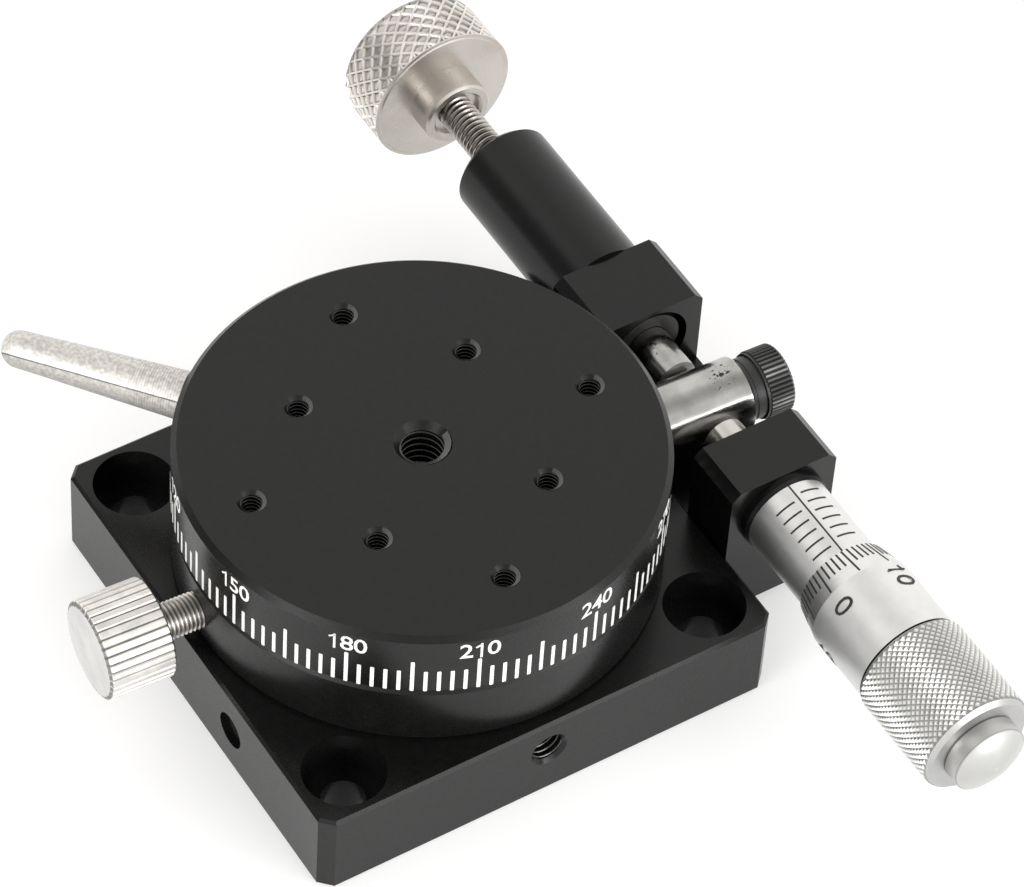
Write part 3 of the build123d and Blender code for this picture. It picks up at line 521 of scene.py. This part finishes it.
TICK_BOTTOM = 14.0 * MM
TALL_TICK = 3.4 * MM
SHORT_TICK = 2.3 * MM
TICK_WIDTH = 0.3 * MM
MARK_RISE = 0.015 * MM
NUMBER_HEIGHT = 1.65 * MM
NUMBER_Z = 18.37 * MM
NUMBER_ADVANCE = 1.05 * MM
NUMBER_WEIGHT = 0.018 * MM


def tick_block(width, length, depth):
    """One engraved line as a thin raised block with softened corners, lying on the XY plane."""
    bpy.ops.object.select_all(action="DESELECT")
    bpy.ops.mesh.primitive_cube_add(size=1, location=(0, 0, 0))
    block = bpy.context.object
    block.scale = (width, length, depth)
    bpy.ops.object.transform_apply(location=False, rotation=False, scale=True)
    pick(block, "EDGE", lambda e: abs(edge_direction(block, e).z) > 0.9)
    bpy.ops.mesh.bevel(offset=width * 0.25, segments=2)
    leave_edit()
    return block


def edge_direction(obj, edge):
    a, b = (obj.data.vertices[i].co for i in edge.vertices)
    return (b - a).normalized()


def around(obj, count, step):
    """Repeats obj count times round the table's axis, by a turned helper."""
    helper = bpy.data.objects.new("turn", None)
    bpy.context.collection.objects.link(helper)
    helper.rotation_euler = (0, 0, step)
    bpy.context.view_layer.update()
    array = obj.modifiers.new("repeat", "ARRAY")
    array.use_relative_offset = False
    array.use_object_offset = True
    array.offset_object = helper
    array.count = count
    bpy.ops.object.select_all(action="DESELECT")
    obj.select_set(True)
    bpy.context.view_layer.objects.active = obj
    bpy.ops.object.modifier_apply(modifier=array.name)
    bpy.data.objects.remove(helper)


def upright_on_rim(angle, radius, height):
    """Place whose X runs round the rim, Y up and Z outwards."""
    out = Vector((math.cos(angle), math.sin(angle), 0))
    side = Vector((-math.sin(angle), math.cos(angle), 0))
    up = Vector((0, 0, 1))
    return Matrix.LocRotScale(out * radius + up * height, Matrix((side, up, out)).transposed(), None)


def dial_ticks():
    tall_step = math.radians(15)
    short_step = math.radians(3)
    groups_round = 24
    tall = tick_block(TICK_WIDTH, TALL_TICK, 2 * MARK_RISE)
    apply_place(tall, upright_on_rim(DIAL_ANGLE, TABLE_R, TICK_BOTTOM + TALL_TICK / 2))
    around(tall, groups_round, tall_step)
    groups = [tall]
    for place in (1, 2, 3, 4):
        short = tick_block(TICK_WIDTH, SHORT_TICK, 2 * MARK_RISE)
        middle = TICK_BOTTOM + SHORT_TICK / 2
        apply_place(short, upright_on_rim(DIAL_ANGLE + place * short_step, TABLE_R, middle))
        around(short, groups_round, tall_step)
        groups.append(short)
    finished(joined("dial_ticks", groups), "table", WHITE_FILL)


def figure_one(height, stroke, rise):
    """The figure 1: an upright stroke with a slanting flag at its head."""
    upright = tick_block(stroke, height, 2 * rise)
    apply_place(upright, Matrix.Translation((stroke * 0.5, 0, 0)))
    flag = tick_block(stroke * 0.85, height * 0.36, 2 * rise)
    lean = Matrix.Rotation(math.radians(-58), 4, "Z")
    apply_place(flag, Matrix.Translation((-stroke * 0.55, height * 0.33, 0)) @ lean)
    return joined("figure_one", [upright, flag])


def digit(character, height, weight, rise):
    """One figure as a thin raised shape; weight is added to each side of its strokes."""
    if character == "1":
        return figure_one(height, height * 0.09 + 2 * weight, rise)
    bpy.ops.object.select_all(action="DESELECT")
    bpy.ops.object.text_add(location=(0, 0, 0))
    text = bpy.context.object
    text.data.body = character
    text.data.size = (height - 2 * weight) / 0.72
    text.data.extrude = rise
    text.data.offset = weight
    text.data.align_x = "CENTER"
    text.data.align_y = "CENTER"
    text.data.resolution_u = 3
    bpy.ops.object.convert(target="MESH")
    return bpy.context.object


def dial_numbers():
    advance = NUMBER_ADVANCE / TABLE_R
    digits = []
    for number in range(0, 360, 30):
        characters = str(number)
        middle = DIAL_ANGLE + math.radians(number)
        for place, character in enumerate(characters):
            angle = middle + (place - (len(characters) - 1) / 2) * advance
            made = digit(character, NUMBER_HEIGHT, NUMBER_WEIGHT, MARK_RISE)
            apply_place(made, upright_on_rim(angle, TABLE_R, NUMBER_Z))
            digits.append(made)
    finished(joined("dial_numbers", digits), "table", WHITE_FILL)


# Micrometer marks

FINE_LINE = 0.16 * MM
INDEX_LINE = 0.14 * MM
INDEX_ANGLE = math.radians(-4.6)
SLEEVE_TICK_START = math.radians(8.5)
SLEEVE_TICK_END = math.radians(35.5)
ZERO_Y = -14.8 * MM
SLEEVE_STEP = 0.5 * MM
FIVE_ANGLE = math.radians(-8.2)


def on_sleeve(angle, radius, y):
    """Place whose Z is outwards at that angle from the top, and Y along the axis."""
    out = Vector((math.sin(angle), 0, math.cos(angle)))
    along = Vector((0, 1, 0))
    side = along.cross(out)
    spot = Vector((AXIS_X, y, AXIS_Z)) + out * radius
    return Matrix.LocRotScale(spot, Matrix((side, along, out)).transposed(), None)


def arc_band(radius, width, start, end, thickness):
    """A narrow raised band round part of the Z axis; angles are from +Y towards +X."""
    faces = 100
    bpy.ops.object.select_all(action="DESELECT")
    bpy.ops.mesh.primitive_cylinder_add(vertices=faces, radius=radius, depth=width, end_fill_type="NOTHING")
    band = bpy.context.object

    def outside(face):
        centre = face.center
        angle = math.atan2(centre.x, centre.y)
        return not start < angle < end
    pick(band, "FACE", outside)
    bpy.ops.mesh.delete(type="FACE")
    leave_edit()
    solid = band.modifiers.new("thickness", "SOLIDIFY")
    solid.thickness = thickness
    solid.offset = 0
    bpy.ops.object.modifier_apply(modifier=solid.name)
    return band


def sleeve_marks():
    length = SLEEVE_START_Y - THIMBLE_EDGE_Y
    index = tick_block(INDEX_LINE, length, 2 * MARK_RISE)
    apply_place(index, on_sleeve(INDEX_ANGLE, SLEEVE_R, (SLEEVE_START_Y + THIMBLE_EDGE_Y) / 2))
    marks = [index]
    lay = on_tangent_axis()
    for half_steps in range(12):
        y = ZERO_Y - half_steps * SLEEVE_STEP
        whole = half_steps % 2 == 0
        start, end = SLEEVE_TICK_START, SLEEVE_TICK_END
        if not whole:
            start, end = -end, -start
        band = arc_band(SLEEVE_R, FINE_LINE, start, end, 2 * MARK_RISE)
        # The band's +Y points down once it is laid along the axis, so it starts half a turn round.
        half_turn = Matrix.Rotation(math.pi, 4, "Z") @ Matrix.Scale(-1, 4, (1, 0, 0))
        from_index = Matrix.Rotation(-INDEX_ANGLE, 4, "Z")
        apply_place(band, Matrix.Translation((0, y, 0)) @ lay @ half_turn @ from_index)
        bpy.ops.object.mode_set(mode="EDIT")
        bpy.ops.mesh.select_all(action="SELECT")
        bpy.ops.mesh.normals_make_consistent(inside=False)
        leave_edit()
        marks.append(band)
    finished(joined("sleeve_marks", marks), "base", BLACK_FILL, 30)


def on_bevel(angle, share):
    """Place on the thimble's bevel, share of the way from its thin edge."""
    y = THIMBLE_EDGE_Y + (BEVEL_END_Y - THIMBLE_EDGE_Y) * share
    radius = THIMBLE_EDGE_R + (THIMBLE_R - THIMBLE_EDGE_R) * share
    slope = math.atan2(THIMBLE_R - THIMBLE_EDGE_R, THIMBLE_EDGE_Y - BEVEL_END_Y)
    return on_sleeve(angle, radius, y) @ Matrix.Rotation(-slope, 4, "X")


def thimble_marks():
    step = math.radians(7.2)
    bevel = math.hypot(THIMBLE_EDGE_Y - BEVEL_END_Y, THIMBLE_R - THIMBLE_EDGE_R)
    marks = []
    for division in range(50):
        share = 0.96 if division % 5 == 0 else 0.56
        line = tick_block(FINE_LINE, bevel * share, 2 * MARK_RISE)
        apply_place(line, on_bevel(FIVE_ANGLE + (division - 5) * step, share / 2))
        marks.append(line)
    height = 1.8 * MM
    advance = 1.25 * MM
    middle_y = BEVEL_END_Y - 1.45 * MM
    for number in (0, 10, 20, 30, 40):
        angle = FIVE_ANGLE + (number - 5) * step
        for place, character in enumerate(str(number)):
            made = digit(character, height, 0, MARK_RISE)
            y = middle_y - (place - (len(str(number)) - 1) / 2) * advance
            turn = Matrix.Rotation(math.radians(-90), 4, "Z")
            apply_place(made, on_sleeve(angle, THIMBLE_R, y) @ turn)
            marks.append(made)
    finished(joined("thimble_marks", marks), "thimble", BLACK_FILL)


# Knurls

def knurl_blank(radius, low, high, columns, rows):
    """A closed drum along Z, its side cut into columns and rows of small cells."""
    bpy.ops.object.select_all(action="DESELECT")
    middle = (low + high) / 2
    bpy.ops.mesh.primitive_cylinder_add(vertices=columns, radius=radius, depth=high - low,
                                        location=(0, 0, middle))
    drum = bpy.context.object
    bpy.ops.object.transform_apply(location=True, rotation=False, scale=False)
    pick(drum, "EDGE", lambda e: abs(edge_direction(drum, e).z) > 0.9)
    bpy.ops.mesh.subdivide(number_cuts=rows - 1)
    leave_edit()
    return drum


def column_of(vertex, columns):
    return round(math.atan2(vertex.co.y, vertex.co.x) * columns / (2 * math.pi))


def is_diamond_corner(vertex, low, high, rows, columns):
    """True for every second corner of the cells, the two end rows left out."""
    cell = (high - low) / rows
    inside = low + cell / 2 < vertex.co.z < high - cell / 2
    row = round((vertex.co.z - low) / cell)
    return inside and (row + column_of(vertex, columns)) % 2 == 0


def thimble_knurl():
    """Fine raised diamonds: every second corner of the cells is pulled outwards."""
    columns, rows = 96, 30
    radius = (THIMBLE_HIGH.x - THIMBLE_LOW.x) / 2 + 0.005 * MM
    low, high = THIMBLE_END_Y + 0.35 * MM, KNURL_START_Y - 0.1 * MM
    point_height = 0.16 * MM
    drum = knurl_blank(radius, low, high, columns, rows)
    pick(drum, "VERT", lambda v: is_diamond_corner(v, low, high, rows, columns))
    grow = (radius + point_height) / radius
    bpy.ops.transform.resize(value=(grow, grow, 1), center_override=(0, 0, 0))
    pick(drum, "FACE", lambda f: len(f.vertices) == 4)
    bpy.ops.mesh.quads_convert_to_tris(quad_method="SHORTEST_DIAGONAL")
    pick(drum, "FACE", lambda f: len(f.vertices) > 4)
    bpy.ops.mesh.inset(thickness=0.4 * MM, depth=0)
    bpy.ops.mesh.bridge_edge_loops()
    leave_edit()
    apply_place(drum, on_tangent_axis())
    finished(named("thimble_knurl"), "thimble", DIAMOND_CHROME)


def knurl_groove():
    """A thin near-black ring laid on the barrel where the knurl begins: painted shadow standing in for the dark
    wall of the narrow groove that parts the thimble's plain barrel from its knurl.
    """
    bpy.ops.object.select_all(action="DESELECT")
    depth = 0.16 * MM
    middle = KNURL_START_Y + depth / 2
    bpy.ops.mesh.primitive_cylinder_add(vertices=96, radius=THIMBLE_R + 0.012 * MM, depth=depth,
                                        location=(0, 0, middle))
    ring = bpy.context.object
    bpy.ops.object.transform_apply(location=True, rotation=False, scale=False)
    pick(ring, "EDGE", lambda e: abs(edge_direction(ring, e).z) < 0.1)
    bpy.ops.mesh.bevel(offset=0.01 * MM, segments=1)
    leave_edit()
    apply_place(ring, on_tangent_axis())
    finished(named("thimble_groove_shadow"), "thimble", SHADOW_BLACK, 40)


def lock_knob_knurl():
    """Square pits between flat ridges that cross, following the knob's round edge."""
    columns, rows = 56, 9
    rise = 0.2 * MM
    radius = KNOB_R + rise
    bend = KNOB_ROUND + rise
    low = KNOB_FACE_Y + 0.1 * MM
    round_start = KNOB_HIGH.y - KNOB_ROUND
    high = round_start + bend * math.radians(55)
    cell = (high - low) / rows
    drum = knurl_blank(radius, low, high, columns, rows)

    def is_middle(vertex):
        return is_diamond_corner(vertex, low, high, rows, columns)
    pick(drum, "VERT", is_middle)
    bpy.ops.transform.resize(value=(1.01, 1.01, 1), center_override=(0, 0, 0))
    pick(drum, "FACE", lambda f: len(f.vertices) == 4)
    bpy.ops.mesh.quads_convert_to_tris(quad_method="SHORTEST_DIAGONAL")
    pick(drum, "VERT", is_middle)
    bpy.ops.mesh.dissolve_verts()
    leave_edit()
    for row in range(rows + 1):
        level = low + row * cell
        if level <= round_start:
            continue
        swing = (level - round_start) / bend
        shrink = 1 - bend * (1 - math.cos(swing)) / radius
        drop = round_start + bend * math.sin(swing) - level
        pick(drum, "VERT", lambda v, level=level: abs(v.co.z - level) < cell / 4)
        bpy.ops.transform.resize(value=(shrink, shrink, 1), center_override=(0, 0, level))
        bpy.ops.transform.translate(value=(0, 0, drop))
        leave_edit()
    pick(drum, "FACE", lambda f: len(f.vertices) < 5)
    bpy.ops.mesh.inset(thickness=0.075 * MM, depth=0, use_individual=True)
    bpy.ops.mesh.inset(thickness=0.12 * MM, depth=-0.18 * MM, use_individual=True)
    leave_edit()
    apply_place(drum, on_tangent_axis())
    drum = named("lock_knob_knurl")
    finished(drum, "lock_knob", DIAMOND_NICKEL, end_material=FINISHES["nickel"])


def straight_knurl(name, radius, low, high, teeth, share, height, chamfer_by, place, body, finish, end_finish):
    """A drum with lengthwise ridges, its two ends tapered; a tooth takes share columns, one of them low."""
    columns = share * teeth
    drum = knurl_blank(radius, low, high, columns, 3)
    third = (high - low) / 3

    pick(drum, "VERT", lambda v: column_of(v, columns) % share != 0)
    grow = (radius + height) / radius
    bpy.ops.transform.resize(value=(grow, grow, 1), center_override=(0, 0, 0))
    for level, end, way in ((low + third, low, 1), (high - third, high, -1)):
        pick(drum, "VERT", lambda v, level=level: abs(v.co.z - level) < third / 4)
        bpy.ops.transform.translate(value=(0, 0, end + way * chamfer_by - level))
        pick(drum, "VERT", lambda v, end=end: abs(v.co.z - end) < chamfer_by / 4)
        shrink = (radius - chamfer_by * 0.9) / (radius + height)
        bpy.ops.transform.resize(value=(shrink, shrink, 1), center_override=(0, 0, end))
    leave_edit()
    apply_place(drum, place)
    drum = named(name)
    finished(drum, body, finish, end_material=end_finish)


def knurled_heads():
    straight_knurl("thumb_head_knurl", radius=3.86 * MM, low=THUMB_HEAD_IN_R, high=THUMB_HEAD_OUT_R + 0.01 * MM,
                   teeth=36, share=5, height=0.15 * MM, chamfer_by=0.22 * MM,
                   place=on_radius(THUMB_ANGLE, THUMB_Z), body="thumb_head",
                   finish=RIDGED_NICKEL, end_finish=FACED_NICKEL)
    straight_knurl("arm_screw_knurl", radius=2.73 * MM, low=ARM_HEAD_IN_R + ARM_COLLAR_T,
                   high=ARM_HEAD_OUT_R - 0.02 * MM, teeth=44, share=2, height=0.1 * MM, chamfer_by=0.25 * MM,
                   place=on_radius(ARM_ANGLE, AXIS_Z), body="clamp_ring",
                   finish=RIDGED_BLACK, end_finish=FINISHES["black_oxide"])


# Threads

def thread_ridge(root, crest, low, high, pitch, steps=28):
    """A helical ridge about the Z axis, from its root radius to its narrower crest."""
    middle = (root + crest) / 2
    bpy.ops.object.select_all(action="DESELECT")
    bpy.ops.mesh.primitive_plane_add(size=1, location=(middle, 0, low), rotation=(math.radians(90), 0, 0))
    ridge = bpy.context.object
    ridge.scale = (abs(crest - root), pitch * 0.94, 1)
    bpy.ops.object.transform_apply(location=True, rotation=True, scale=True)
    pick(ridge, "VERT", lambda v: abs(v.co.x - crest) < abs(v.co.x - root))
    bpy.ops.transform.resize(value=(1, 1, 0.15), center_override=(crest, 0, low))
    bpy.ops.mesh.select_all(action="SELECT")
    bpy.ops.mesh.delete(type="ONLY_FACE")
    leave_edit()
    screw = ridge.modifiers.new("screw", "SCREW")
    screw.axis = "Z"
    screw.angle = 2 * math.pi
    screw.screw_offset = pitch
    screw.iterations = round((high - low) / pitch)
    screw.steps = steps
    screw.render_steps = steps
    screw.use_smooth_shade = False
    bpy.ops.object.modifier_apply(modifier=screw.name)
    bpy.ops.object.mode_set(mode="EDIT")
    bpy.ops.mesh.select_all(action="SELECT")
    bpy.ops.mesh.fill_holes(sides=4)
    bpy.ops.mesh.select_all(action="SELECT")
    bpy.ops.mesh.normals_make_consistent(inside=False)
    leave_edit()
    return ridge


def threaded_rod(name, pitch, low, high, place, body, finish, stands_for):
    """A stud: a plain core with chamfered ends and a helical thread round it."""
    crest = 1.49 * MM
    root = crest - 0.58 * pitch
    bpy.ops.object.select_all(action="DESELECT")
    middle = (low + high) / 2
    bpy.ops.mesh.primitive_cylinder_add(vertices=48, radius=root, depth=high - low, location=(0, 0, middle))
    core = bpy.context.object
    bpy.ops.object.transform_apply(location=True, rotation=False, scale=False)
    pick(core, "EDGE", lambda e: abs(edge_direction(core, e).z) < 0.1)
    bpy.ops.mesh.bevel(offset=0.25 * MM, segments=1)
    leave_edit()
    ridge = thread_ridge(root - 0.02 * MM, crest, low + 0.35 * MM, high - 0.6 * MM, pitch)
    rod = joined(name, [core, ridge])
    apply_place(rod, place)
    rod = named(name)
    finished(rod, body, finish, 35)
    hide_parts(stands_for)


def threaded_rods():
    threaded_rod("lock_rod_thread", M3_PITCH, ROD_LOW.y, ROD_HIGH.y, on_tangent_axis(),
                 "lock_rod", ROD_THREAD, "lock_rod")
    threaded_rod("thumb_stud_thread", THUMB_PITCH, STUD_IN_R, STUD_OUT_R, on_radius(THUMB_ANGLE, THUMB_Z),
                 "thumb_stud", STUD_THREAD, "thumb_screw_stud")


def tap_thread(wall_r, crest_r, depth, pitch):
    """The ridges in a tapped hole, rooted in its wall and hanging from z = 0 downwards."""
    return thread_ridge(wall_r, crest_r, -depth, 0, pitch)


def table_tap_threads():
    small = []
    first = tap_thread(wall_r=1.12 * MM, crest_r=0.82 * MM, depth=3.2 * MM, pitch=M2_PITCH)
    for i in (-1, 0, 1):
        for j in (-1, 0, 1):
            if i == 0 and j == 0:
                continue
            thread = copy_of(first)
            spot = Matrix.Translation((i * GRID_PITCH, j * GRID_PITCH, TABLE_TOP - 0.12 * MM))
            apply_place(thread, Matrix.Rotation(GRID_ANGLE, 4, "Z") @ spot)
            small.append(thread)
    bpy.data.objects.remove(first)
    finished(joined("m2_tap_threads", small), "table", HIGHLIGHT_THREAD_BLACK, 30)
    centre = tap_thread(wall_r=2.15 * MM, crest_r=1.66 * MM, depth=7.7 * MM, pitch=M4_PITCH)
    apply_place(centre, Matrix.Translation((0, 0, TABLE_TOP - 0.2 * MM)))
    finished(named("m4_tap_thread"), "table", HIGHLIGHT_THREAD_BLACK, 30)


def front_tap_thread():
    thread = tap_thread(wall_r=1.5 * MM, crest_r=1.24 * MM, depth=3.8 * MM, pitch=M3_PITCH)
    place = Matrix.Translation(FRONT_TAP) @ Matrix.Rotation(math.radians(90), 4, "X")
    apply_place(thread, place)
    finished(named("front_tap_thread"), "base", HIGHLIGHT_THREAD_BLACK, 30)


# Stage, light and camera

FLOOR_DARK = (0.6, 0.6, 0.6)
FLOOR_LIGHT = (0.64, 0.64, 0.64)


def floor():
    bpy.ops.object.select_all(action="DESELECT")
    bpy.ops.mesh.primitive_plane_add(size=3, location=(0, 0, 0))
    plane = named("floor")
    material, nodes, links, shader = principled("floor_white")
    mottle = noise_on_object(nodes, links, 30)
    colour = ramp_between(nodes, links, mottle.outputs["Fac"], FLOOR_DARK, FLOOR_LIGHT)
    links.new(colour.outputs["Color"], shader.inputs["Base Color"])
    shader.inputs["Roughness"].default_value = 0.8
    shader.inputs["Emission Color"].default_value = (1, 1, 1, 1)
    shader.inputs["Emission Strength"].default_value = 0.42
    plane.data.materials.append(material)


def soft_light(name, place, aim, size, power):
    data = bpy.data.lights.new(name, "AREA")
    data.shape = "RECTANGLE"
    data.size, data.size_y = size
    data.energy = power
    light = bpy.data.objects.new(name, data)
    bpy.context.collection.objects.link(light)
    light.location = place
    light.rotation_euler = (Vector(aim) - Vector(place)).to_track_quat("-Z", "Y").to_euler()


TENT_WHITE = (1.0, 0.985, 0.97, 1)
TENT_TOP = (0.3, 0.295, 0.29, 1)
# Darker parts of the light tent round the object: direction, inner and outer angle in degrees, brightness left
DARK_GAPS = (
    ((-0.344, -0.523, 0.78), 10, 26, 0.55),
    ((-0.78, 0.523, 0.3), 12, 26, 0.25),
)


def studio():
    bpy.context.scene.view_settings.view_transform = "Standard"
    world = bpy.data.worlds.new("studio")
    bpy.context.scene.world = world
    world.use_nodes = True
    nodes, links = world.node_tree.nodes, world.node_tree.links
    background = nodes["Background"]
    background.inputs["Strength"].default_value = 1.2
    coords = nodes.new("ShaderNodeTexCoord")
    split = nodes.new("ShaderNodeSeparateXYZ")
    height = nodes.new("ShaderNodeValToRGB")
    height.color_ramp.elements[0].position = 0.0
    height.color_ramp.elements[0].color = TENT_WHITE
    height.color_ramp.elements[1].position = 1.0
    height.color_ramp.elements[1].color = TENT_TOP
    bright = height.color_ramp.elements.new(0.8)
    bright.color = TENT_WHITE
    links.new(coords.outputs["Generated"], split.inputs["Vector"])
    links.new(split.outputs["Z"], height.inputs["Fac"])
    colour = height.outputs["Color"]
    for toward, inner, outer, shade in DARK_GAPS:
        aim = nodes.new("ShaderNodeVectorMath")
        aim.operation = "DOT_PRODUCT"
        aim.inputs[1].default_value = Vector(toward).normalized()
        links.new(coords.outputs["Generated"], aim.inputs[0])
        dimmed = nodes.new("ShaderNodeMapRange")
        dimmed.inputs["From Min"].default_value = math.cos(math.radians(outer))
        dimmed.inputs["From Max"].default_value = math.cos(math.radians(inner))
        dimmed.inputs["To Min"].default_value = 1.0
        dimmed.inputs["To Max"].default_value = shade
        links.new(aim.outputs["Value"], dimmed.inputs["Value"])
        mix = nodes.new("ShaderNodeMix")
        mix.data_type = "RGBA"
        mix.blend_type = "MULTIPLY"
        mix.inputs["Factor"].default_value = 1.0
        links.new(colour, mix.inputs["A"])
        links.new(dimmed.outputs["Result"], mix.inputs["B"])
        colour = mix.outputs["Result"]
    links.new(colour, background.inputs["Color"])
    middle = (0, 0, 0.01)
    soft_light("window_left", (-0.6, -0.15, 0.2), middle, (0.3, 0.3), 2.2)
    soft_light("window_front", (0.2, -0.6, 0.2), middle, (0.5, 0.25), 2.6)


CAMERA_PLACE = (-143.2 * MM, -217.8 * MM, 325.5 * MM)
CAMERA_TURN = (40.448, -2.653, -31.690)
CAMERA_LENS = 187.4


def camera():
    data = bpy.data.cameras.new("camera")
    data.lens = CAMERA_LENS
    data.sensor_width = 36
    data.clip_start, data.clip_end = 0.01, 10
    eye = bpy.data.objects.new("camera", data)
    bpy.context.collection.objects.link(eye)
    eye.location = CAMERA_PLACE
    eye.rotation_euler = tuple(math.radians(a) for a in CAMERA_TURN)
    bpy.context.scene.camera = eye


finish_frame_nodes()
dial_ticks()
dial_numbers()
sleeve_marks()
thimble_marks()
thimble_knurl()
knurl_groove()
lock_knob_knurl()
knurled_heads()
threaded_rods()
table_tap_threads()
front_tap_thread()
floor()
studio()
camera()
